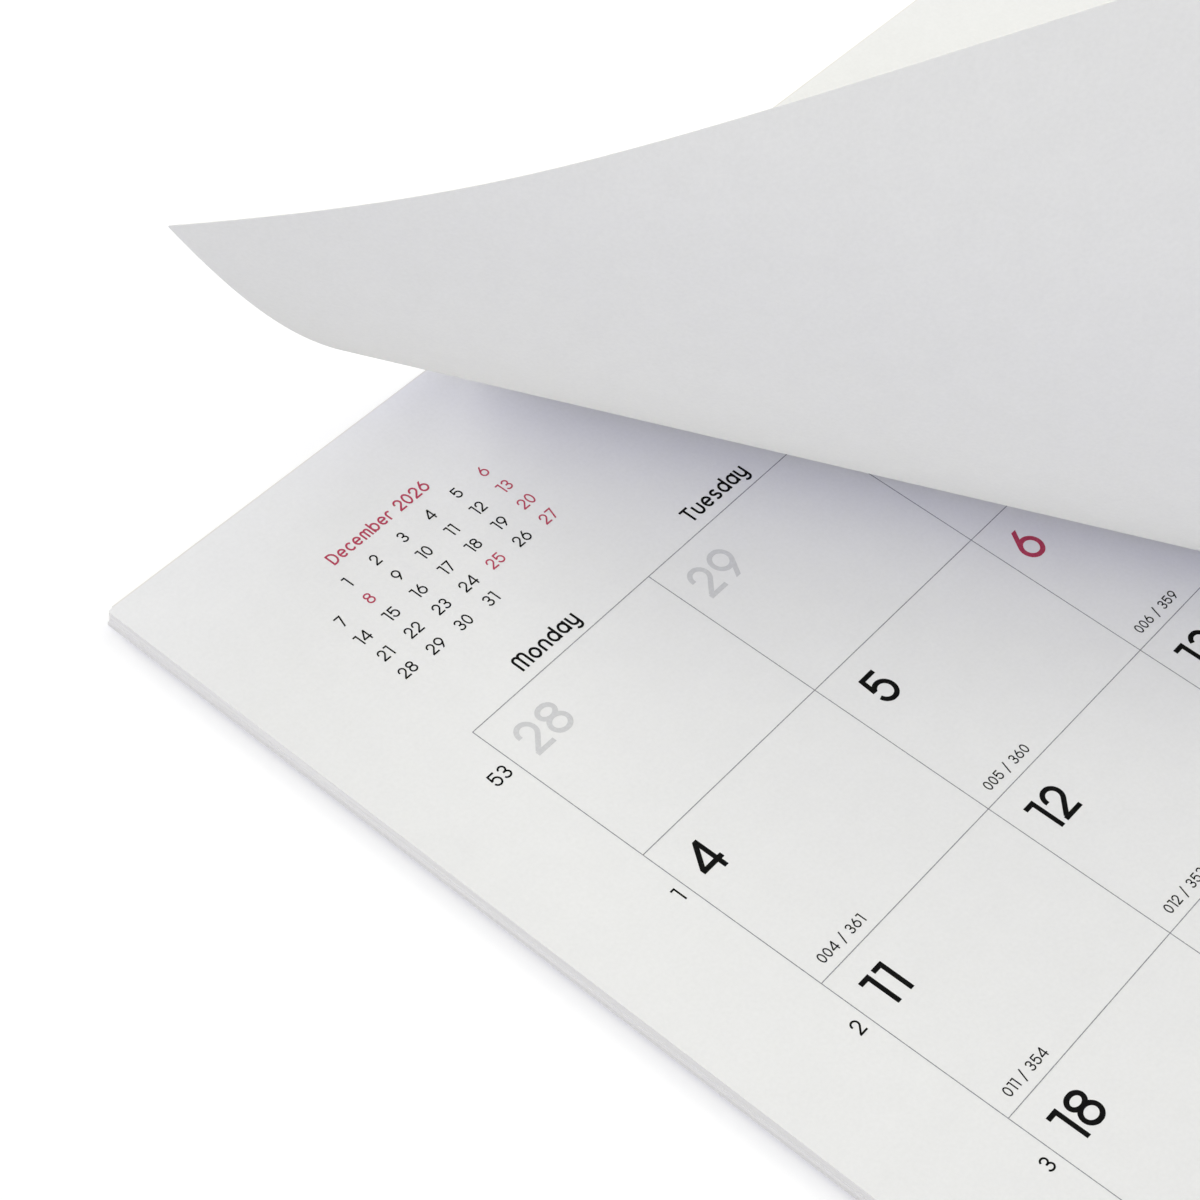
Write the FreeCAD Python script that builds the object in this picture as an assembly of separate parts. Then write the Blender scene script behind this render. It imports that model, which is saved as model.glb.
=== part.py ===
"""Magnetic calendar pad, lying on its back with its top leaf lifted from the left.

Millimetres.  +X runs along the lines of print, +Y towards the bound top edge,
+Z out of the printed pages.  The origin is the middle of the upper magnet strip,
on the side that sticks to steel.
"""
import FreeCAD, Part
import math
import os

# ---- paper ---------------------------------------------------------------
PAGE_W = 420.0          # A3, landscape
PAGE_H = 297.0
SHEET_T = 0.2           # one sheet, about 170 g/m2
# bundles of sheets from the top down: how many, and how far the left and the
# bottom edge of the bundle have crept in since the pad was trimmed
BUNDLES = (
    (6, 0.0, 0.0),
    (4, 0.45, 0.25),
    (3, 0.2, 0.4),
    (3, 0.05, 0.15),
)

# ---- backing -------------------------------------------------------------
BOARD_T = 0.9           # white card
GLUE_T = 0.3            # film of padding glue on the bound edge
GLUE_SIDE = 1.5         # the film stops this far short of the corners

# ---- magnets -------------------------------------------------------------
MAGNET_SIDE = 20.0      # from the left and right edges of the pad
MAGNET_W = 25.0
MAGNET_T = 1.5
MAGNET_INSET = 12.0     # from the bound edge and from the bottom edge
MAGNET_ROUND = 0.4      # radius of the long edges that face the steel
TAPE_T = 0.1            # double-sided tape
TAPE_MARGIN = 0.5       # the tape stays this far inside the strip

# ---- lifted leaf ---------------------------------------------------------
# The leaf is a flat sheet rolled along straight lines that open like a fan.
# The first line is where the leaf leaves the pad; each next line has moved to
# the left, faster along the top edge than along the bottom edge.
LIFT_TOP = 133.0        # first line, from the left edge, at the top edge
LIFT_FOOT = 267.0       # first line, from the left edge, at the bottom edge
FAN_TOP = 268.0         # run of the lines along the top edge
FAN_FOOT = 130.0        # run of the lines along the bottom edge
# how sharply the leaf turns (degrees for the whole run) at shares of the run
BEND = ((0.0, 0.0), (0.1, 229.0), (0.3, 175.0), (0.5, 42.0),
        (0.7, 118.0), (0.85, 41.0), (1.0, 0.0))
STEP = 0.0125           # share of the run between two lines

# ---- heights and places worked out from these ----------------------------
MAGNET_L = PAGE_W - 2 * MAGNET_SIDE
BLOCK_T = SHEET_T * sum(count for count, _, _ in BUNDLES)
BOARD_Z = MAGNET_T + TAPE_T
BLOCK_Z = BOARD_Z + BOARD_T
PAGE_Z = BLOCK_Z + BLOCK_T
LEFT = -PAGE_W / 2
TOP = MAGNET_INSET + MAGNET_W / 2
FOOT = TOP - PAGE_H


def slab(x0, y0, z0, size_x, size_y, size_z):
    """Box from its low corner."""
    return Part.makeBox(size_x, size_y, size_z, FreeCAD.Vector(x0, y0, z0))


def page_block():
    """The bound sheets under the lifted leaf, one solid with stepped edges."""
    block = None
    z = PAGE_Z
    for count, creep_left, creep_foot in BUNDLES:
        thick = count * SHEET_T
        z -= thick
        bundle = slab(LEFT + creep_left, FOOT + creep_foot, z,
                      PAGE_W - creep_left, PAGE_H - creep_foot, thick)
        block = bundle if block is None else block.fuse(bundle)
    return block.removeSplitter()


def back_board():
    """Stiff card that the sheets are bound to."""
    return slab(LEFT, FOOT, BOARD_Z, PAGE_W, PAGE_H, BOARD_T)


def glue_edge():
    """Padding glue on the bound edge, a sheet taller where the leaf still holds."""
    left = LEFT + GLUE_SIDE
    right = LEFT + PAGE_W - GLUE_SIDE
    release = LEFT + LIFT_TOP
    outline = [(left, BOARD_Z), (right, BOARD_Z), (right, PAGE_Z + SHEET_T),
               (release, PAGE_Z + SHEET_T), (release, PAGE_Z), (left, PAGE_Z)]
    points = [FreeCAD.Vector(x, TOP, z) for x, z in outline]
    face = Part.Face(Part.makePolygon(points + points[:1]))
    return face.extrude(FreeCAD.Vector(0, GLUE_T, 0))


def strip_foot(at_top):
    """Low Y of the upper or the lower magnet strip."""
    if at_top:
        return TOP - MAGNET_INSET - MAGNET_W
    return FOOT + MAGNET_INSET


def magnet_strip(at_top):
    """Flexible magnet strip; its long edges are eased on the steel side."""
    strip = slab(-MAGNET_L / 2, strip_foot(at_top), 0.0, MAGNET_L, MAGNET_W, MAGNET_T)
    long_edges = [edge for edge in strip.Edges
                  if edge.BoundBox.ZMax < MAGNET_T / 2 and edge.BoundBox.YLength < MAGNET_T]
    return strip.makeFillet(MAGNET_ROUND, long_edges)


def tape(at_top):
    """Double-sided tape between a magnet strip and the board."""
    return slab(-MAGNET_L / 2 + TAPE_MARGIN, strip_foot(at_top) + TAPE_MARGIN, MAGNET_T,
                MAGNET_L - 2 * TAPE_MARGIN, MAGNET_W - 2 * TAPE_MARGIN, TAPE_T)


def bend_at(share):
    """Turning rate of the leaf at a share of the fan's run."""
    for (s0, rate0), (s1, rate1) in zip(BEND, BEND[1:]):
        if share <= s1:
            return rate0 + (rate1 - rate0) * (share - s0) / (s1 - s0)
    return BEND[-1][1]


def flat_line(share):
    """Ends of one line of the fan on the flat sheet, at the sheet's edges."""
    head = FreeCAD.Vector(LEFT + LIFT_TOP - share * FAN_TOP, TOP, PAGE_Z)
    foot = FreeCAD.Vector(LEFT + LIFT_FOOT - share * FAN_FOOT, FOOT, PAGE_Z)
    axis = (head - foot).normalize()
    if head.x < LEFT:
        head = head + axis * ((LEFT - head.x) / axis.x)
    return head, foot, axis


def roll(shares):
    """Roll the sheet over the lines at the given shares.

    Returns the rolled ends of each line on the leaf's two faces, and the
    placement that carries whatever lies beyond the last line.
    """
    rows = []
    turned = FreeCAD.Placement()
    for i, share in enumerate(shares):
        reach = (shares[min(i + 1, len(shares) - 1)] - shares[max(i - 1, 0)]) / 2
        head, foot, axis = flat_line(share)
        half_turn = FreeCAD.Rotation(axis, bend_at(share) * reach / 2)
        half = FreeCAD.Placement(FreeCAD.Vector(), half_turn, foot)
        turned = turned * half
        lift = turned.Rotation.multVec(FreeCAD.Vector(0, 0, SHEET_T))
        under = [turned.multVec(head), turned.multVec(foot)]
        rows.append((under, [point + lift for point in under]))
        turned = turned * half
    return rows, turned


def spline(points):
    """Smooth edge through points that lie at even steps of the fan."""
    curve = Part.BSplineCurve()
    curve.interpolate(Points=points, Parameters=[float(i) for i in range(len(points))])
    return curve.toShape()


def skin(under, over):
    """Faces of a plate between two closed rings of matching edges."""
    return [Part.makeRuledSurface(low, high) for low, high in zip(under, over)]


def rolled_faces(rows):
    """Both faces and both free edges of a stretch of rolled sheet."""
    heads = [spline([row[face][0] for row in rows]) for face in (0, 1)]
    feet = [spline([row[face][1] for row in rows]) for face in (0, 1)]
    return skin([heads[0], heads[1], heads[0], feet[0]],
                [feet[0], feet[1], heads[1], feet[1]])


def flat_faces(under, over, open_side):
    """Both faces and the free edges of a flat stretch; one side stays open."""
    rings = [[Part.makeLine(a, b) for a, b in zip(ring, ring[1:] + ring[:1])]
             for ring in (under, over)]
    sides = [i for i in range(len(under)) if i != open_side]
    return [Part.Face(Part.Wire(ring)) for ring in rings] + skin(
        [rings[0][i] for i in sides], [rings[1][i] for i in sides])


def stations(start, end):
    """Even shares from start up to, but not including, end, about a STEP apart."""
    count = max(4, round((end - start) / STEP))
    return [start + (end - start) * i / count for i in range(count)]


def lifted_sheet():
    """The leaf: flat on the pad at the right, rolled up and over at the left."""
    corner_share = LIFT_TOP / FAN_TOP
    to_corner = stations(0.0, corner_share)
    rows, turned = roll(to_corner + stations(corner_share, 1.0) + [1.0])

    right = LEFT + PAGE_W
    rise = FreeCAD.Vector(0, 0, SHEET_T)
    head, foot = rows[0][0]
    flat = [foot, FreeCAD.Vector(right, FOOT, PAGE_Z), FreeCAD.Vector(right, TOP, PAGE_Z), head]
    faces = flat_faces(flat, [point + rise for point in flat], open_side=3)

    faces += rolled_faces(rows[:len(to_corner) + 1])
    faces += rolled_faces(rows[len(to_corner):])

    corner = turned.multVec(FreeCAD.Vector(LEFT, FOOT, PAGE_Z))
    tip_rise = turned.Rotation.multVec(rise)
    (head, foot), (head_over, foot_over) = rows[-1]
    faces += flat_faces([head, corner, foot],
                        [head_over, corner + tip_rise, foot_over], open_side=2)

    shell = Part.makeShell(faces)
    shell.sewShape()
    return Part.makeSolid(shell)


def main():
    nodes = {
        "page_block": page_block(),
        "lifted_sheet": lifted_sheet(),
        "back_board": back_board(),
        "glue_edge": glue_edge(),
        "magnet_strip_top": magnet_strip(at_top=True),
        "magnet_strip_bottom": magnet_strip(at_top=False),
        "adhesive_tape_top": tape(at_top=True),
        "adhesive_tape_bottom": tape(at_top=False),
    }
    os.makedirs("parts", exist_ok=True)
    for name, shape in nodes.items():
        solid = shape.Solids[0]
        box = solid.BoundBox
        print(f"{name}: valid {solid.isValid()}, solids {len(shape.Solids)}, "
              f"volume {solid.Volume:.1f}, z {box.ZMin:.2f}..{box.ZMax:.2f}")
        solid.exportStep(f"parts/{name}.step")


main()
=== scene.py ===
"""Looks of the magnetic calendar pad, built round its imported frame.

The pad lies on its back on two magnet strips, with its top leaf rolled up from the left.
Lengths are in metres.  A page is drawn flat in page coordinates: x to the right, y up and
so below zero, from the sheet's top left corner, which is at PAGE_PLACE in the frame.
"""
import math
import random
import bmesh
import bpy
from mathutils import Matrix, Quaternion, Vector


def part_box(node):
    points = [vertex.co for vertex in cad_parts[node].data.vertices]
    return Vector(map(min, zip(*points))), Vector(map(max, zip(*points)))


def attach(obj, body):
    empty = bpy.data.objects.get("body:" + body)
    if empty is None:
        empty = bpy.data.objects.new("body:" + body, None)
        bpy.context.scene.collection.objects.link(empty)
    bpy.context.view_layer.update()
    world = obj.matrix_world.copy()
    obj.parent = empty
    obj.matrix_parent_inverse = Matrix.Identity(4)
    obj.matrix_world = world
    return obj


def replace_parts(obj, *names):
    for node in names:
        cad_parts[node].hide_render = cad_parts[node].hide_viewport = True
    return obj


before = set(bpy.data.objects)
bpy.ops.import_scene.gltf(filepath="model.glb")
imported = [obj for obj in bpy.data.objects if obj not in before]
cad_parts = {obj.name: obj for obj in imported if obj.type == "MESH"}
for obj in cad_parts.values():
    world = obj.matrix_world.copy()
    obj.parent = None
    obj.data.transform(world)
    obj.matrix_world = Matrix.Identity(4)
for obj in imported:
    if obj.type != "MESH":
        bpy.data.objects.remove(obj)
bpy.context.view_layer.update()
MM = 0.001
TOUCH = 1e-7                # nearer than this, in metres, two points are one
GLYPH_TOUCH = 1e-6          # the same for a character 1 high

# ---- the pad, read from the frame --------------------------------------------------------
BOARD_LOW, BOARD_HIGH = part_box("back_board")
BLOCK_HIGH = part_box("page_block")[1]
PAGE_W, PAGE_H = BOARD_HIGH.x - BOARD_LOW.x, BOARD_HIGH.y - BOARD_LOW.y
PAGE_PLACE = Vector((BOARD_LOW.x, BOARD_HIGH.y, BLOCK_HIGH.z))

# ---- sheets ------------------------------------------------------------------------------
SHEET_T = 0.2 * MM
# bundles from the top down: sheets, and how far in their left and bottom edges have crept
BUNDLES = ((6, 0.0, 0.0), (4, 0.1, 0.08), (3, 0.05, 0.12), (3, 0.02, 0.05))
SHEET_AIR = 0.012 * MM      # between two sheets, away from the glued edge
SHEET_STRAY = 0.02 * MM     # how far a single sheet strays from its bundle
STRAY_SEED = 7
CORNER_EASE = 0.5 * MM      # corners of the sheets, blunted by handling
CORNER_STEPS = 4
UPRIGHT = 0.5               # a face whose normal rises less than this is a cut edge

# ---- the lifted leaf: a flat sheet rolled over a fan of straight lines -------------------
LIFT_TOP = 133 * MM         # first line of the fan, from the left edge, along the top edge
LIFT_FOOT = 267 * MM        # the same line, along the bottom edge
FAN_TOP = 268 * MM          # run of the fan along the top edge
FAN_FOOT = 130 * MM         # run of the fan along the bottom edge
# how sharply the leaf turns, in degrees for the whole run, at shares of the run
BEND = ((0.0, 0.0), (0.1, 229.0), (0.3, 175.0), (0.5, 42.0),
        (0.7, 118.0), (0.85, 41.0), (1.0, 0.0))
FAN_LINES = 160
ON_LINE = 1e-3              # as a share of the way to the next line, this near is on the line
CROSS_CUTS = 40             # cuts across the lines, which keep the shading of the leaf even
SHARP_EDGE = math.radians(30)

# ---- print -------------------------------------------------------------------------------
INK_T = 0.03 * MM           # a real film of ink is thinner; this much keeps it off the paper
STROKE_RISE = 0.002 * MM    # each stroke of a character lies this much over the last
GRID_LEFT, GRID_DOWN = 26.96 * MM, 68.12 * MM    # corner of the day grid on the sheet
PRINT_TURN = math.radians(0.93)     # the print sits a little askew on the trimmed sheet
DAY_W, DAY_H = 53.12 * MM, 40.7 * MM
DAYS_IN_ROW, GRID_ROWS = 7, 5
SUNDAY = 6                  # column of a weekday, counted from Monday
WEEKDAYS = ("Monday", "Tuesday", "Wednesday", "Thursday", "Friday", "Saturday", "Sunday")
HAIRLINE = 0.17 * MM
NUMBER_H = 7.72 * MM        # heights of the print
TITLE_H = 20 * MM
WEEKDAY_H = 3.6 * MM
WEEK_H = 3.2 * MM
SMALL_TITLE_H = 2.9 * MM
SMALL_DAY_H = 2.7 * MM
NOTE_H = 2.2 * MM
PEN = 0.122                 # width of a stroke, as a share of the height
NUMBER_PEN = 0.14
HEADING_PEN = 0.15
SMALL_TITLE_PEN = 0.14
MITRE_LIMIT = 0.3           # keeps a sharp turn of a stroke from growing a spike
GAP = 0.135                 # between two characters, as a share of the height
SPACE = 0.3
FINE_ARC, COARSE_ARC = 12, 24    # degrees between two points of an arc
COARSE_UNDER = 3.5 * MM     # characters lower than this take coarse arcs
# places of the print, as shares of a day's width or height: OVER the top of the grid, to its
# LEFT, and IN from the left, DOWN from the top or UP from the foot of a day
TITLE_OVER = 0.52
WEEKDAY_OVER = 0.059
WEEK_LEFT, WEEK_DOWN = 0.036, 0.29
NUMBER_IN, NUMBER_DOWN = 0.084, 0.12
FIVE_IN = 0.129             # the number 5 is set further in
NOTE_IN, NOTE_UP = 0.07, 0.05
SMALL_TITLE_IN, SMALL_TITLE_OVER = 0.505, 1.118
SMALL_DAY_IN, SMALL_DAY_STEP = 0.0547, 0.1523
SMALL_ROW_OVER, SMALL_ROW_STEP = 0.973, 0.1381

# Strokes of each character, for a height of 1.  A pair is a point; six numbers are an arc:
# centre, radii, start and end angle.
GLYPHS = {
    "0": [[(.33, .5, .265, .435, 90, 450)]],
    "1": [[(0, .936), (.299, .936), (.299, 0)]],
    "2": [[(.325, .675, .261, .261, 186, -48), (.082, .107)], [(0, .064), (.64, .064)]],
    "3": [[(.31, .7175, .235, .2185, 165, -90), (.21, .5)],
          [(.31, .2825, .265, .2185, 90, -165)]],
    "4": [[(.573, 1), (.573, 0)], [(0, .278), (.75, .278)], [(.555, .955), (.05, .305)]],
    "5": [[(.632, .936), (.148, .936), (.105, .48)], [(.363, .349, .285, .285, 143, -170)]],
    "6": [[(.48, 1.05), (.12, .527)], [(.363, .358, .297, .294, 145, 505)]],
    "7": [[(0, .936), (.55, .936), (.19, -.06)]],
    "8": [[(.35, .7425, .255, .1935, 90, 450)], [(.35, .307, .285, .243, 90, 450)]],
    "9": [[(.246, -.05), (.606, .473)], [(.363, .642, .297, .294, -35, 325)]],
    "/": [[(.02, -.14), (.44, 1.06)]],
    "a": [[(.33, .38, .265, .316, 0, 360)], [(.595, .76), (.595, 0)]],
    "b": [[(.33, .38, .265, .316, 0, 360)], [(.065, 1), (.065, 0)]],
    "c": [[(.33, .38, .265, .316, 42, 318)]],
    "d": [[(.33, .38, .265, .316, 0, 360)], [(.595, 1), (.595, 0)]],
    "e": [[(.33, .38, .265, .316, 0, 318)], [(.065, .38), (.595, .38)]],
    "h": [[(.065, 1), (.065, 0)], [(.3, .46, .235, .235, 180, 0), (.535, 0)]],
    "i": [[(.065, .76), (.065, 0)], [(.065, 1), (.065, .87)]],
    "m": [[(.065, 0), (.23, .53, .165, .165, 180, 0), (.395, 0)],
          [(.56, .53, .165, .165, 180, 0), (.725, 0)]],
    "n": [[(.065, 0), (.3, .46, .235, .235, 180, 0), (.535, 0)]],
    "o": [[(.33, .38, .265, .316, 0, 360)]],
    "r": [[(.065, 0), (.27, .49, .205, .205, 180, 40)]],
    "s": [[(.27, .538, .195, .158, 30, 270)], [(.27, .222, .205, .158, 90, -150)]],
    "t": [[(.065, 1), (.235, .235, .17, .17, 180, 310)], [(.065, .696), (.42, .696)]],
    "u": [[(.065, .76), (.3, .3, .235, .235, 180, 360), (.535, .76)]],
    "v": [[(.05, .76), (.29, .02), (.53, .76)]],
    "y": [[(.065, .76), (.3, .3, .235, .235, 180, 360)],
          [(.535, .76), (.3, -.05, .235, .2, 0, -150)]],
    "D": [[(.065, .5), (.065, .936), (.25, .5, .38, .436, 90, -90), (.065, .064), (.065, .5)]],
    "F": [[(.065, 0), (.065, .936), (.55, .936)], [(.065, .5), (.48, .5)]],
    "J": [[(.455, 1), (.26, .26, .195, .195, 0, -160)]],
    "M": [[(.065, 0), (.27, .73, .205, .205, 180, 0), (.475, 0)],
          [(.68, .73, .205, .205, 180, 0), (.885, 0)]],
    "N": [[(.065, 0), (.33, .67, .265, .265, 180, 0), (.595, 0)]],
    "S": [[(.33, .7175, .25, .2185, 30, 270)], [(.33, .2825, .265, .2185, 90, -150)]],
    "T": [[(0, .936), (.66, .936)], [(.33, .936), (.33, 0)]],
    "W": [[(.065, 1), (.27, .27, .205, .205, 180, 360), (.475, 1)],
          [(.68, .27, .205, .205, 180, 360), (.885, 1)]],
}
BELOW_THE_LINE = "/y"       # these aren't cut level at head and foot

# What each printed month says: title, column of its first day, days in it and in the month
# before, number of the week of its first row and of the last week before the count starts
# again, holidays, days of the year gone by, and the small months left and right of its title
# (title, column of its first day, days, holidays, column of the day grid that it stands over).
NEXT_MONTH = dict(
    title="January", first=4, days=31, days_before=31, week=53, last_week=53,
    holidays=(1, 6), gone=0,
    small=(("December 2026", 1, 31, (8, 25), 0), ("February 2027", 0, 28, (), 6)))
THIS_MONTH = dict(
    title="December", first=1, days=31, days_before=30, week=49, last_week=53,
    holidays=(8, 25), gone=334,
    small=(("November 2026", 6, 30, (1,), 0), ("January 2027", 4, 31, (1, 6), 6)))
DAYS_IN_YEAR = 365

# ---- studio ------------------------------------------------------------------------------
FLOOR_SIZE = 6              # metres from the middle to each side
FLOOR_TOP_UP = 0.46         # what the floor round the pad gives the camera beyond the lamps' light
LIT_REACH = 0.35, 0.75      # from the pad: where the floor starts to whiten, and is white
DOME = 0.4                  # even light from all round; 1 would light the pad by itself
# softboxes: the place they look at, and their distance and width
FAR_BOX = Vector((-0.10, -0.09, 0.03)), 1.6, 0.7
NEAR_BOX = Vector((-0.02, -0.12, 0.10)), 0.6, 0.4
# lamps: name, softbox, azimuth and elevation in degrees, watts and colour
LAMPS = (
    ("lamp_back_left", FAR_BOX, 225, 15, 7.95, "#D9D9FF"),
    ("lamp_left", FAR_BOX, 270, 15, 4.5, "#FFFFD7"),
    ("lamp_back", FAR_BOX, 180, 15, 8.2, "#FFFFF4"),
    ("lamp_front_left", FAR_BOX, 315, 40, 4.0, "#AAAAFF"),
    ("lamp_front_right", NEAR_BOX, 45, 60, 1.35, "#FFFFF1"),
    ("lamp_over_left", NEAR_BOX, 270, 60, 0.57, "#FFFFC1"),
    ("lamp_back_right", NEAR_BOX, 135, 30, 0.75, "#F1F1FF"),
)
SENSOR, LENS = 36, 99.15    # millimetres, as a camera gives them
CAMERA_AIM = PAGE_PLACE + Vector((68.7, -64.36, 0)) * MM
CAMERA_AZIMUTH, CAMERA_ELEVATION, CAMERA_ROLL = -57.631, 49.288, 9.785
CAMERA_DISTANCE = 638.67 * MM


# ---- pen ---------------------------------------------------------------------------------
def points_of(stroke, arc_step):
    """Points of a stroke, its arcs cut into short runs."""
    points = []
    for part in stroke:
        if len(part) == 2:
            points.append(Vector(part))
            continue
        centre_x, centre_y, radius_x, radius_y, start, end = part
        runs = max(2, round(abs(end - start) / arc_step))
        for i in range(runs + 1):
            angle = math.radians(start + (end - start) * i / runs)
            points.append(Vector((centre_x + radius_x * math.cos(angle),
                                  centre_y + radius_y * math.sin(angle))))
    return points


def nib_at(before, here, after):
    """Half the nib, for a stroke 1 wide, turned to the mitre where two runs meet."""
    into = (here - before).normalized() if before else (after - here).normalized()
    out = (after - here).normalized() if after else into
    along = (into + out).normalized()
    return Vector((-along.y, along.x)) * 0.5 / max(MITRE_LIMIT, along.dot(into))


def draw_stroke(bm, points, width, z=0.0):
    """A strip of faces laid from point to point."""
    last = len(points) - 1
    closed = (points[0] - points[last]).length < GLYPH_TOUCH
    strip = bmesh.ops.create_grid(bm, x_segments=last, y_segments=1, size=1)["verts"]
    for i, here in enumerate(points):
        before = points[i - 1] if i else points[last - 1] if closed else None
        after = points[i + 1] if i < last else points[1] if closed else None
        nib = nib_at(before, here, after) * width
        strip[i].co = (*(here - nib), z)
        strip[i + last + 1].co = (*(here + nib), z)
    bmesh.ops.remove_doubles(bm, verts=strip, dist=TOUCH)


GLYPH_MESHES = {}


def glyph_mesh(char, pen, arc_step):
    """Flat mesh of one character, 1 high, cut level at its head and foot."""
    key = (char, pen, arc_step)
    if key not in GLYPH_MESHES:
        bm = bmesh.new()
        for order, stroke in enumerate(GLYPHS[char]):
            draw_stroke(bm, points_of(stroke, arc_step), pen, z=order)
        if char not in BELOW_THE_LINE:
            for height, outwards in ((1, 1), (0, -1)):
                bmesh.ops.bisect_plane(bm, geom=bm.verts[:] + bm.edges[:] + bm.faces[:],
                                       dist=GLYPH_TOUCH, plane_co=(0, height, 0),
                                       plane_no=(0, outwards, 0), clear_outer=True)
        GLYPH_MESHES[key] = bpy.data.meshes.new("glyph")
        bm.to_mesh(GLYPH_MESHES[key])
        bm.free()
    return GLYPH_MESHES[key]


def glyph_width(char, pen, arc_step):
    """How far a character reaches to the right, for a height of 1."""
    if char == " ":
        return SPACE
    return max(vert.co.x for vert in glyph_mesh(char, pen, arc_step).vertices)


def write(bm, text, x, y, height, align="left", pen=PEN):
    """A line of characters; x, y is the foot of its left end, its centre or its right end."""
    arc_step = COARSE_ARC if height < COARSE_UNDER else FINE_ARC
    widths = [glyph_width(char, pen, arc_step) for char in text]
    length = (sum(widths) + GAP * (len(text) - 1)) * height
    x -= {"left": 0, "centre": length / 2, "right": length}[align]
    for char, width in zip(text, widths):
        if char != " ":
            before = len(bm.verts)
            bm.from_mesh(glyph_mesh(char, pen, arc_step))
            bm.verts.ensure_lookup_table()
            size = Matrix.Diagonal((height, height, STROKE_RISE, 1))
            bmesh.ops.transform(bm, matrix=Matrix.Translation((x, y, 0)) @ size,
                                verts=bm.verts[before:])
        x += (width + GAP) * height


# ---- print of a month, from the top left corner of its day grid --------------------------
def draw_grid(lines):
    """Hairlines between the days."""
    right, foot = DAYS_IN_ROW * DAY_W, -GRID_ROWS * DAY_H
    for row in range(GRID_ROWS + 1):
        ends = [Vector((0, -row * DAY_H)), Vector((right, -row * DAY_H))]
        draw_stroke(lines, ends, HAIRLINE)
    for column in range(DAYS_IN_ROW + 1):
        ends = [Vector((column * DAY_W, 0)), Vector((column * DAY_W, foot))]
        draw_stroke(lines, ends, HAIRLINE, z=STROKE_RISE)


def write_headings(black, month):
    """Title, weekdays above the grid and week numbers beside it."""
    write(black, month["title"], DAYS_IN_ROW / 2 * DAY_W, TITLE_OVER * DAY_H, TITLE_H, "centre")
    for column, name in enumerate(WEEKDAYS):
        write(black, name, (column + 0.5) * DAY_W, WEEKDAY_OVER * DAY_H, WEEKDAY_H, "centre",
              HEADING_PEN)
    for row in range(GRID_ROWS):
        week = (month["week"] + row - 1) % month["last_week"] + 1
        write(black, str(week), -WEEK_LEFT * DAY_W, -(row + WEEK_DOWN) * DAY_H, WEEK_H, "right")


def write_days(inks, month):
    """Number of each day, grey in the months before and after, and the day's place in the year."""
    for cell in range(DAYS_IN_ROW * GRID_ROWS):
        column, row, day = cell % DAYS_IN_ROW, cell // DAYS_IN_ROW, cell - month["first"] + 1
        if day < 1:
            ink, number = "grey", day + month["days_before"]
        elif day > month["days"]:
            ink, number = "grey", day - month["days"]
        else:
            holiday = column == SUNDAY or day in month["holidays"]
            ink, number = "red" if holiday else "black", day
            gone = month["gone"] + day
            write(inks["black"], f"{gone:03d} / {DAYS_IN_YEAR - gone:03d}",
                  (column + NOTE_IN) * DAY_W, (NOTE_UP - row - 1) * DAY_H, NOTE_H)
        indent = FIVE_IN if number == 5 else NUMBER_IN
        write(inks[ink], str(number), (column + indent) * DAY_W,
              -(row + NUMBER_DOWN) * DAY_H - NUMBER_H, NUMBER_H, pen=NUMBER_PEN)


def write_small_month(inks, title, first, days, holidays, column):
    """Small calendar of a neighbouring month, above a column of the grid."""
    left = column * DAY_W
    write(inks["red"], title, left + SMALL_TITLE_IN * DAY_W, SMALL_TITLE_OVER * DAY_H,
          SMALL_TITLE_H, "centre", SMALL_TITLE_PEN)
    for cell in range(first, first + days):
        weekday, row, day = cell % DAYS_IN_ROW, cell // DAYS_IN_ROW, cell - first + 1
        ink = "red" if weekday == SUNDAY or day in holidays else "black"
        write(inks[ink], str(day), left + (SMALL_DAY_IN + SMALL_DAY_STEP * weekday) * DAY_W,
              (SMALL_ROW_OVER - SMALL_ROW_STEP * row) * DAY_H, SMALL_DAY_H, "centre")


def month_print(month):
    """Flat print of a month on its sheet, one bmesh for each ink."""
    inks = {name: bmesh.new() for name in ("line", "grey", "red", "black")}
    draw_grid(inks["line"])
    write_headings(inks["black"], month)
    write_days(inks, month)
    for small in month["small"]:
        write_small_month(inks, *small)
    place = (Matrix.Translation((GRID_LEFT, -GRID_DOWN, 0))
             @ Matrix.Rotation(PRINT_TURN, 4, "Z"))
    for bm in inks.values():
        bmesh.ops.transform(bm, matrix=place, verts=bm.verts)
    return inks


# ---- rolling the leaf --------------------------------------------------------------------
def fan_line(share):
    """A point on a line of the fan, at the bottom edge, and the line's direction."""
    head = Vector((LIFT_TOP - share * FAN_TOP, 0, 0))
    foot = Vector((LIFT_FOOT - share * FAN_FOOT, -PAGE_H, 0))
    return foot, (head - foot).normalized()


def share_at(point):
    """Share of the fan's run at which its line passes through a point of the page."""
    down = -point.y / PAGE_H
    first = LIFT_TOP + (LIFT_FOOT - LIFT_TOP) * down
    return (first - point.x) / (FAN_TOP + (FAN_FOOT - FAN_TOP) * down)


def bend_at(share):
    """Turning rate of the leaf at a share of the fan's run."""
    for (s0, rate0), (s1, rate1) in zip(BEND, BEND[1:]):
        if share <= s1:
            return rate0 + (rate1 - rate0) * (share - s0) / (s1 - s0)
    return BEND[-1][1]


def places_of_lines():
    """Where the turns carry each line of the fan, and the stretch just beyond each line."""
    on_lines, beyond_lines, turned = [], [], Matrix.Identity(4)
    for i in range(FAN_LINES + 1):
        foot, axis = fan_line(i / FAN_LINES)
        half_turn = math.radians(bend_at(i / FAN_LINES)) / FAN_LINES / 2
        half = (Matrix.Translation(foot) @ Matrix.Rotation(half_turn, 4, axis)
                @ Matrix.Translation(-foot))
        on_lines.append(turned @ half)
        turned = turned @ half @ half
        beyond_lines.append(turned)
    return on_lines, beyond_lines


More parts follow.
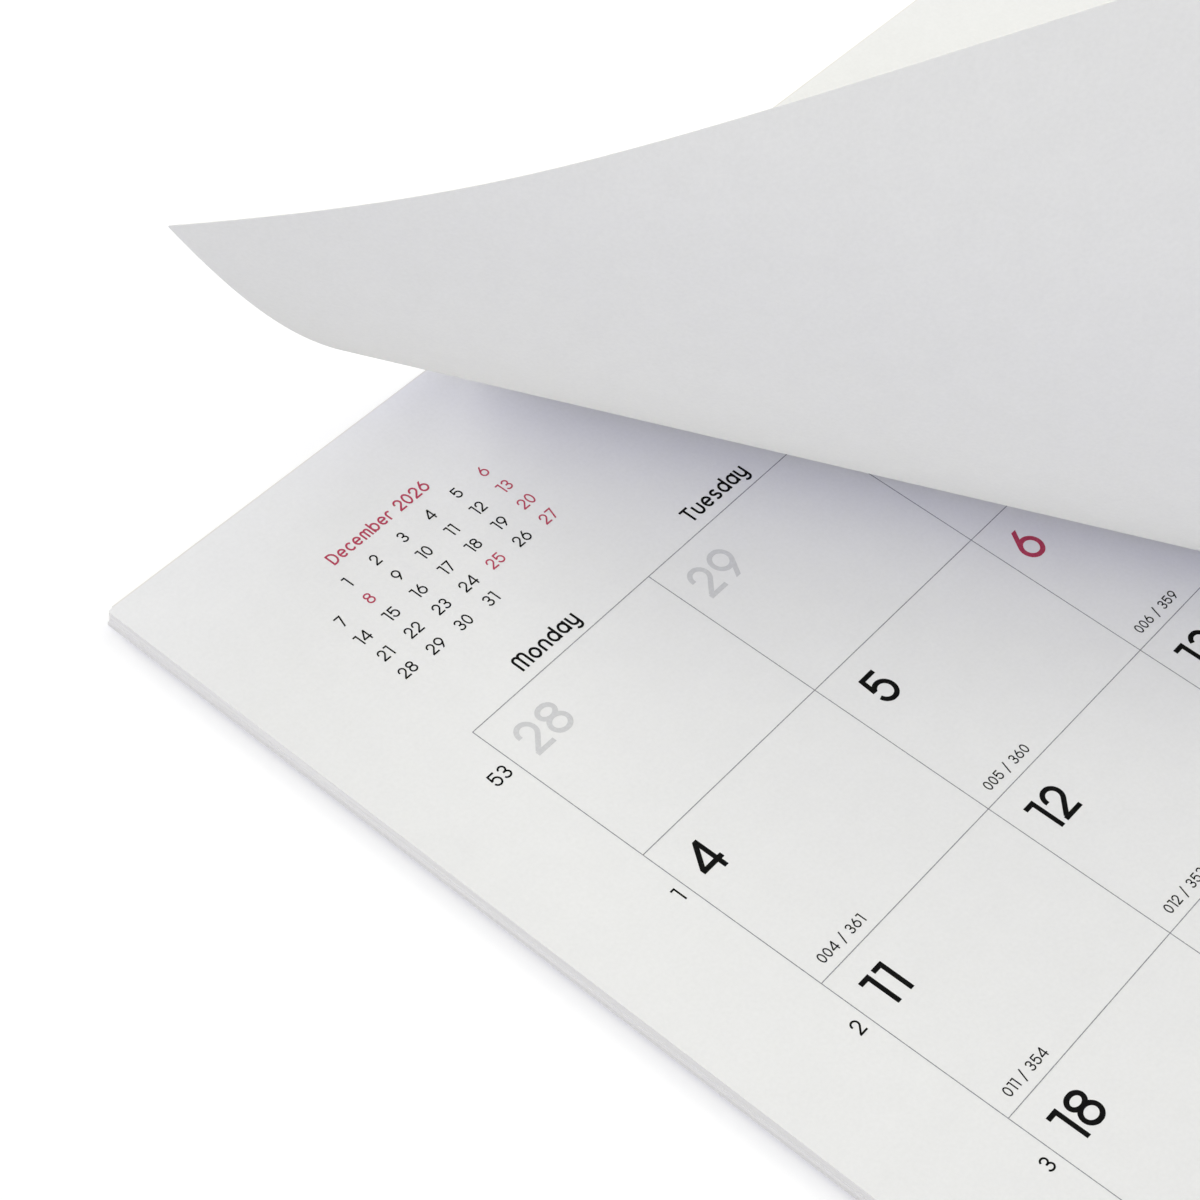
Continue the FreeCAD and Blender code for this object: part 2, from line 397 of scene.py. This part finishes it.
ON_LINES, BEYOND_LINES = places_of_lines()


def roll_up(bm):
    """Cut a flat bmesh along the lines of the fan and roll it up over them."""
    for i in range(FAN_LINES + 1):
        foot, axis = fan_line(i / FAN_LINES)
        bmesh.ops.bisect_plane(bm, geom=bm.verts[:] + bm.edges[:] + bm.faces[:], dist=TOUCH,
                               plane_co=foot, plane_no=(axis.y, -axis.x, 0))
    for vert in bm.verts:
        line = min(share_at(vert.co), 1) * FAN_LINES
        if abs(line - round(line)) < ON_LINE and 0 <= round(line):
            vert.co = ON_LINES[round(line)] @ vert.co
        elif line > 0:
            vert.co = BEYOND_LINES[int(line)] @ vert.co


# ---- materials ---------------------------------------------------------------------------
def colour(hex_code):
    """sRGB hex to a linear RGBA."""
    values = [int(hex_code[i:i + 2], 16) / 255 for i in (1, 3, 5)]
    return [v / 12.92 if v <= 0.04045 else ((v + 0.055) / 1.055) ** 2.4 for v in values] + [1.0]


def fill_sockets(material, node, sockets):
    """Give each input socket its value, or join it to another node's output."""
    for name, value in sockets.items():
        if isinstance(value, bpy.types.NodeSocket):
            material.node_tree.links.new(value, node.inputs[name])
        else:
            node.inputs[name].default_value = value


def add_node(material, kind, sockets, **properties):
    """A node with its properties, values and links."""
    node = material.node_tree.nodes.new(kind)
    for name, value in properties.items():
        setattr(node, name, value)
    fill_sockets(material, node, sockets)
    return node


def new_material(name):
    """An empty material, and its Object coordinates."""
    material = bpy.data.materials.new(name)
    material.use_nodes = True
    place = add_node(material, "ShaderNodeTexCoord", {}).outputs["Object"]
    return material, place


def finish_material(material, sockets):
    """Set the material's shader and give the material."""
    fill_sockets(material, material.node_tree.nodes["Principled BSDF"], sockets)
    return material


def uncoated_offset_paper():
    """Woodfree paper, 170 g/m2, machine made and uncoated.

    Matt and nearly white; looked at closely it is faintly cloudy, where the fibres settled
    unevenly, and mottled, with a slight tooth.
    """
    material, place = new_material("uncoated_offset_paper")
    cloud = add_node(material, "ShaderNodeTexNoise",
                     {"Vector": place, "Scale": 1 / (7 * MM), "Detail": 3.0})
    # single fibres are 0.02 mm wide; mottle and tooth are drawn at the size of their tufts
    tufts = add_node(material, "ShaderNodeTexNoise",
                     {"Vector": place, "Scale": 1 / (0.8 * MM), "Detail": 3.0})
    both = add_node(material, "ShaderNodeMath",
                    {0: cloud.outputs["Fac"], 1: 0.5, 2: tufts.outputs["Fac"]},
                    operation="MULTIPLY_ADD")
    mottle = add_node(material, "ShaderNodeMapRange",
                      {"Value": both.outputs["Value"], "From Min": 0.25, "From Max": 1.25})
    tone = add_node(material, "ShaderNodeMix",
                    {"Factor": mottle.outputs["Result"], 6: colour("#EAEAE9"),
                     7: colour("#F2F2F1")}, data_type="RGBA")
    tooth = add_node(material, "ShaderNodeBump",
                     {"Strength": 1.0, "Distance": 0.02 * MM, "Height": tufts.outputs["Fac"]})
    return finish_material(material, {
        "Base Color": tone.outputs[2], "Roughness": 0.9, "IOR": 1.5,
        "Specular IOR Level": 0.25, "Normal": tooth.outputs["Normal"]})


def cut_paper_edge():
    """Edges of the same paper where a guillotine trimmed the stack.

    Painted shade makes them duller than the faces, standing in for the light that sinks in between
    the cut fibres, and a painted cream tint offsets the bluish lamps that light this side of the
    stack; besides this, the sheets' own tones differ at random, no two quite alike.
    """
    material, place = new_material("guillotined_edge_painted_shade")
    # one sheet is 0.2 mm thick; the sheets' tones are drawn for two or three together
    along = add_node(material, "ShaderNodeMapping", {"Vector": place, "Scale": (0.01, 0.01, 1)})
    sheets = add_node(material, "ShaderNodeTexNoise",
                      {"Vector": along.outputs["Vector"], "Scale": 1 / (0.5 * MM), "Detail": 1.0})
    spread = add_node(material, "ShaderNodeMapRange",
                      {"Value": sheets.outputs["Fac"], "From Min": 0.35, "From Max": 0.65})
    # painted shade and a painted cream tint: darker and warmer than the paper's faces, against the
    # bluish light on this side; the noise is the sheets' own random tone
    tone = add_node(material, "ShaderNodeMix",
                    {"Factor": spread.outputs["Result"], 6: colour("#E5E4E0"),
                     7: colour("#EDECE8")}, data_type="RGBA")
    return finish_material(material, {
        "Base Color": tone.outputs[2], "Roughness": 0.95, "IOR": 1.5,
        "Specular IOR Level": 0.2})


def offset_ink(name, full, thin):
    """Offset ink dried into uncoated paper: dull, and a little thinner over the paper's tooth."""
    material, place = new_material(name)
    tufts = add_node(material, "ShaderNodeTexNoise",
                     {"Vector": place, "Scale": 1 / (0.5 * MM), "Detail": 2.0})
    cover = add_node(material, "ShaderNodeMapRange",
                     {"Value": tufts.outputs["Fac"], "From Min": 0.45, "From Max": 0.75})
    tone = add_node(material, "ShaderNodeMix",
                    {"Factor": cover.outputs["Result"], 6: colour(full), 7: colour(thin)},
                    data_type="RGBA")
    return finish_material(material, {
        "Base Color": tone.outputs[2], "Roughness": 0.85, "IOR": 1.5,
        "Specular IOR Level": 0.08})


def bleached_board():
    """Solid bleached board, pressed in several plies and cut with a guillotine.

    Duller and a little greyer than the paper, with fine pale and dark fibres along it.
    """
    material, place = new_material("solid_bleached_board")
    fibres = add_node(material, "ShaderNodeMapping", {"Vector": place, "Scale": (0.3, 1, 1)})
    flecks = add_node(material, "ShaderNodeTexNoise",
                      {"Vector": fibres.outputs["Vector"], "Scale": 1 / (0.6 * MM), "Detail": 4.0})
    spread = add_node(material, "ShaderNodeMapRange",
                      {"Value": flecks.outputs["Fac"], "From Min": 0.3, "From Max": 0.7})
    tone = add_node(material, "ShaderNodeMix",
                    {"Factor": spread.outputs["Result"], 6: colour("#D9D8D4"),
                     7: colour("#E6E5E2")}, data_type="RGBA")
    nap = add_node(material, "ShaderNodeBump",
                   {"Strength": 0.5, "Distance": 0.05 * MM, "Height": flecks.outputs["Fac"]})
    return finish_material(material, {
        "Base Color": tone.outputs[2], "Roughness": 0.95, "IOR": 1.5,
        "Specular IOR Level": 0.25, "Normal": nap.outputs["Normal"]})


def padding_glue():
    """White padding glue, brushed along the clamped edge and dried to a rubbery skin.

    It shines softly, runs in long brush marks, and lets the edges of the sheets show as ribs.
    """
    material, place = new_material("brushed_padding_glue")
    strokes = add_node(material, "ShaderNodeMapping", {"Vector": place, "Scale": (0.02, 1, 1)})
    marks = add_node(material, "ShaderNodeTexNoise",
                     {"Vector": strokes.outputs["Vector"], "Scale": 1 / (0.35 * MM),
                      "Detail": 3.0})
    height = add_node(material, "ShaderNodeSeparateXYZ", {"Vector": place})
    turn = add_node(material, "ShaderNodeMath",
                    {0: height.outputs["Z"], 1: math.tau / SHEET_T}, operation="MULTIPLY")
    rib = add_node(material, "ShaderNodeMath", {0: turn.outputs["Value"]}, operation="SINE")
    relief = add_node(material, "ShaderNodeMath",
                      {0: rib.outputs["Value"], 1: 0.2, 2: marks.outputs["Fac"]},
                      operation="MULTIPLY_ADD")
    skin = add_node(material, "ShaderNodeBump",
                    {"Strength": 0.6, "Distance": 0.06 * MM, "Height": relief.outputs["Value"]})
    tone = add_node(material, "ShaderNodeMix",
                    {"Factor": marks.outputs["Fac"], 6: colour("#E2E0DA"), 7: colour("#F0EEE9")},
                    data_type="RGBA")
    return finish_material(material, {
        "Base Color": tone.outputs[2], "Roughness": 0.4, "IOR": 1.47,
        "Normal": skin.outputs["Normal"]})


def ferrite_rubber():
    """Ferrite powder bonded in rubber and extruded as a flat strip.

    Brown-black and dull, with fine lines from the die along it and grey specks of powder.
    """
    material, place = new_material("extruded_ferrite_rubber")
    drawn = add_node(material, "ShaderNodeMapping", {"Vector": place, "Scale": (0.01, 1, 1)})
    lines = add_node(material, "ShaderNodeTexNoise",
                     {"Vector": drawn.outputs["Vector"], "Scale": 1 / (0.8 * MM), "Detail": 3.0})
    die_marks = add_node(material, "ShaderNodeBump",
                         {"Strength": 0.5, "Distance": 0.05 * MM, "Height": lines.outputs["Fac"]})
    specks = add_node(material, "ShaderNodeTexNoise",
                      {"Vector": place, "Scale": 1 / (0.4 * MM), "Detail": 2.0})
    powder = add_node(material, "ShaderNodeMapRange",
                      {"Value": specks.outputs["Fac"], "From Min": 0.5, "From Max": 0.8})
    tone = add_node(material, "ShaderNodeMix",
                    {"Factor": powder.outputs["Result"], 6: colour("#262321"),
                     7: colour("#45413D")}, data_type="RGBA")
    return finish_material(material, {
        "Base Color": tone.outputs[2], "Roughness": 0.6, "IOR": 1.55,
        "Normal": die_marks.outputs["Normal"]})


def transfer_tape():
    """Double-sided transfer tape, cast acrylic adhesive on a thin film.

    Straw coloured and half glossy at its edge, with small pale bubbles pressed into it.
    """
    material, place = new_material("cast_transfer_tape")
    bubbles = add_node(material, "ShaderNodeTexVoronoi", {"Vector": place, "Scale": 1 / (3 * MM)})
    trapped = add_node(material, "ShaderNodeMapRange",
                       {"Value": bubbles.outputs["Distance"], "From Min": 0.1, "From Max": 0.3,
                        "To Min": 1.0, "To Max": 0.0})
    tone = add_node(material, "ShaderNodeMix",
                    {"Factor": trapped.outputs["Result"], 6: colour("#D9CFB0"),
                     7: colour("#E9E3CF")}, data_type="RGBA")
    return finish_material(material, {
        "Base Color": tone.outputs[2], "Roughness": 0.3, "IOR": 1.48})


# ---- pieces ------------------------------------------------------------------------------
def slab(low, high):
    """A bmesh box between two corners."""
    bm = bmesh.new()
    bmesh.ops.create_cube(bm, size=1)
    bmesh.ops.scale(bm, vec=high - low, verts=bm.verts)
    bmesh.ops.translate(bm, vec=(low + high) / 2, verts=bm.verts)
    return bm


def ease_corners(bm, radius):
    """Round the upright edges of a slab."""
    upright = [edge for edge in bm.edges
               if (edge.verts[0].co - edge.verts[1].co).xy.length < TOUCH]
    bmesh.ops.bevel(bm, geom=upright, offset=radius, segments=CORNER_STEPS, profile=0.5,
                    affect="EDGES", material=-1)


def mark_cut_edges(bm):
    """Give the upright faces of a flat sheet the second of its materials."""
    bm.normal_update()
    for face in bm.faces:
        if abs(face.normal.z) < UPRIGHT:
            face.material_index = 1


def add_piece(name, bm, materials):
    """A finished piece of the pad, carried from page coordinates to its place in the frame."""
    bmesh.ops.translate(bm, vec=PAGE_PLACE, verts=bm.verts)
    mesh = bpy.data.meshes.new(name)
    bm.to_mesh(mesh)
    bm.free()
    for material in materials:
        mesh.materials.append(material)
    piece = bpy.data.objects.new(name, mesh)
    bpy.context.scene.collection.objects.link(piece)
    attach(piece, "root")
    return piece


def add_ink(name, bm, material):
    """A flat print, given the thickness of a film of ink below its face."""
    film = add_piece(name, bm, [material]).modifiers.new("film_of_ink", "SOLIDIFY")
    film.thickness = INK_T
    film.offset = -1


def add_block(paper):
    """The sheets under the leaf, one piece each, stepped as their bundles have crept."""
    stray = random.Random(STRAY_SEED)
    top, number = 0.0, 0
    for count, creep_left, creep_foot in BUNDLES:
        for _ in range(count):
            number += 1
            out_left, out_foot = [0 if number == 1 else stray.uniform(0, SHEET_STRAY)
                                  for _ in range(2)]
            low = Vector((creep_left * MM + out_left, creep_foot * MM + out_foot - PAGE_H,
                          top - SHEET_T + SHEET_AIR))
            bm = slab(low, Vector((PAGE_W, 0, top)))
            ease_corners(bm, CORNER_EASE)
            mark_cut_edges(bm)
            sheet = add_piece(f"page_sheet_{number:02d}", bm, paper)
            if number == 1:
                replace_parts(sheet, "page_block")
            top -= SHEET_T


def add_page_print(inks):
    """Print on the sheet that lies open."""
    for name, bm in month_print(NEXT_MONTH).items():
        bmesh.ops.translate(bm, vec=(0, 0, INK_T), verts=bm.verts)
        add_ink(f"page_print_{name}", bm, inks[name])


def add_leaf(paper):
    """The lifted leaf, smooth over its turns and crisp at its edges.

    Its back clears the film of ink on the page below it.
    """
    bm = slab(Vector((0, -PAGE_H, 2 * INK_T)), Vector((PAGE_W, 0, SHEET_T)))
    ease_corners(bm, CORNER_EASE)
    mark_cut_edges(bm)
    for i in range(1, CROSS_CUTS):
        bmesh.ops.bisect_plane(bm, geom=bm.verts[:] + bm.edges[:] + bm.faces[:], dist=TOUCH,
                               plane_co=(0, -PAGE_H * i / CROSS_CUTS, 0), plane_no=(0, 1, 0))
    roll_up(bm)
    for face in bm.faces:
        face.smooth = True
    for edge in bm.edges:
        edge.smooth = edge.calc_face_angle(0) < SHARP_EDGE
    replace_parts(add_piece("leaf", bm, paper), "lifted_sheet")


def add_leaf_print(inks):
    """Print on the leaf's face, on the inside of its roll."""
    for name, bm in month_print(THIS_MONTH).items():
        bmesh.ops.translate(bm, vec=(0, 0, SHEET_T + INK_T), verts=bm.verts)
        roll_up(bm)
        add_ink(f"leaf_print_{name}", bm, inks[name])


def finish_nodes(finishes):
    """Give the nodes that stay as they are their materials."""
    for name, material in finishes.items():
        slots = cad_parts[name].data.materials
        slots.clear()
        slots.append(material)


# ---- the pad -----------------------------------------------------------------------------
paper = [uncoated_offset_paper(), cut_paper_edge()]
inks = {"line": offset_ink("offset_ink_hairline", "#84858A", "#A2A3A6"),
        "grey": offset_ink("offset_ink_tint", "#D0D0D1", "#D7D8D9"),
        "red": offset_ink("offset_ink_red", "#B7405B", "#C0546B"),
        "black": offset_ink("offset_ink_black", "#090909", "#151515")}
add_block(paper)
add_page_print(inks)
add_leaf(paper)
add_leaf_print(inks)

rubber, tape = ferrite_rubber(), transfer_tape()
finish_nodes({"back_board": bleached_board(), "glue_edge": padding_glue(),
              "magnet_strip_top": rubber, "magnet_strip_bottom": rubber,
              "adhesive_tape_top": tape, "adhesive_tape_bottom": tape})


# ---- setting up the studio ---------------------------------------------------------------
def camera_rays(material):
    """1 where the camera looks, straight or by a reflection or through glass, and 0 elsewhere."""
    path = add_node(material, "ShaderNodeLightPath", {})
    seen = path.outputs["Is Camera Ray"]
    for ray in ("Is Glossy Ray", "Is Transmission Ray"):
        seen = add_node(material, "ShaderNodeMath", {0: seen, 1: path.outputs[ray]},
                        operation="MAXIMUM").outputs["Value"]
    return seen


def add_floor():
    """Pale floor, topped up to white for the camera; it keeps the pad's shadow.

    Away from the pad, where the lamps don't reach, the camera sees it white, with no horizon.
    """
    bm = bmesh.new()
    bmesh.ops.create_grid(bm, x_segments=1, y_segments=1, size=FLOOR_SIZE)
    mesh = bpy.data.meshes.new("floor")
    bm.to_mesh(mesh)
    bm.free()
    floor = bpy.data.objects.new("floor", mesh)
    bpy.context.scene.collection.objects.link(floor)
    material, place = new_material("studio_floor")
    reach = add_node(material, "ShaderNodeVectorMath", {0: place, 1: FAR_BOX[0]},
                     operation="DISTANCE")
    white = add_node(material, "ShaderNodeMapRange", {
        "Value": reach.outputs["Value"], "From Min": LIT_REACH[0], "From Max": LIT_REACH[1],
        "To Min": FLOOR_TOP_UP, "To Max": 1.0}, interpolation_type="SMOOTHSTEP")
    top_up = add_node(material, "ShaderNodeMath",
                      {0: camera_rays(material), 1: white.outputs["Result"]},
                      operation="MULTIPLY")
    mesh.materials.append(finish_material(material, {
        "Base Color": colour("#CBCBCB"), "Roughness": 0.9, "Emission Color": (1, 1, 1, 1),
        "Emission Strength": top_up.outputs["Value"]}))


def add_world():
    """Even light from all round, and a white background."""
    world = bpy.data.worlds.new("studio")
    world.use_nodes = True
    bpy.context.scene.world = world
    strength = add_node(world, "ShaderNodeMath",
                        {0: camera_rays(world), 1: 1 - DOME, 2: DOME}, operation="MULTIPLY_ADD")
    fill_sockets(world, world.node_tree.nodes["Background"],
                 {"Color": (1, 1, 1, 1), "Strength": strength.outputs["Value"]})


def direction(azimuth, elevation):
    """Unit vector towards a place round the pad; azimuth 0 is in front, at -Y."""
    azimuth, elevation = math.radians(azimuth), math.radians(elevation)
    return Vector((math.sin(azimuth) * math.cos(elevation),
                   -math.cos(azimuth) * math.cos(elevation), math.sin(elevation)))


def add_lamp(name, softbox, azimuth, elevation, watts, hex_code):
    """A round softbox that looks at the pad."""
    aim, distance, size = softbox
    light = bpy.data.lights.new(name, "AREA")
    light.shape = "DISK"
    light.size = size
    light.energy = watts
    light.color = colour(hex_code)[:3]
    lamp = bpy.data.objects.new(name, light)
    bpy.context.scene.collection.objects.link(lamp)
    away = direction(azimuth, elevation)
    lamp.location = aim + away * distance
    lamp.rotation_mode = "QUATERNION"
    lamp.rotation_quaternion = away.to_track_quat("Z", "Y")
    lamp.visible_camera = False


def add_camera():
    """Camera over the left top corner of the page, looking across the pad."""
    data = bpy.data.cameras.new("camera")
    data.sensor_width = SENSOR
    data.lens = LENS
    camera = bpy.data.objects.new("camera", data)
    bpy.context.scene.collection.objects.link(camera)
    away = direction(CAMERA_AZIMUTH, CAMERA_ELEVATION)
    camera.location = CAMERA_AIM + away * CAMERA_DISTANCE
    camera.rotation_mode = "QUATERNION"
    camera.rotation_quaternion = ((-away).to_track_quat("-Z", "Y")
                                  @ Quaternion((0, 0, 1), math.radians(CAMERA_ROLL)))
    bpy.context.scene.camera = camera


add_floor()
add_world()
for lamp in LAMPS:
    add_lamp(*lamp)
add_camera()
bpy.context.scene.view_settings.view_transform = "Standard"
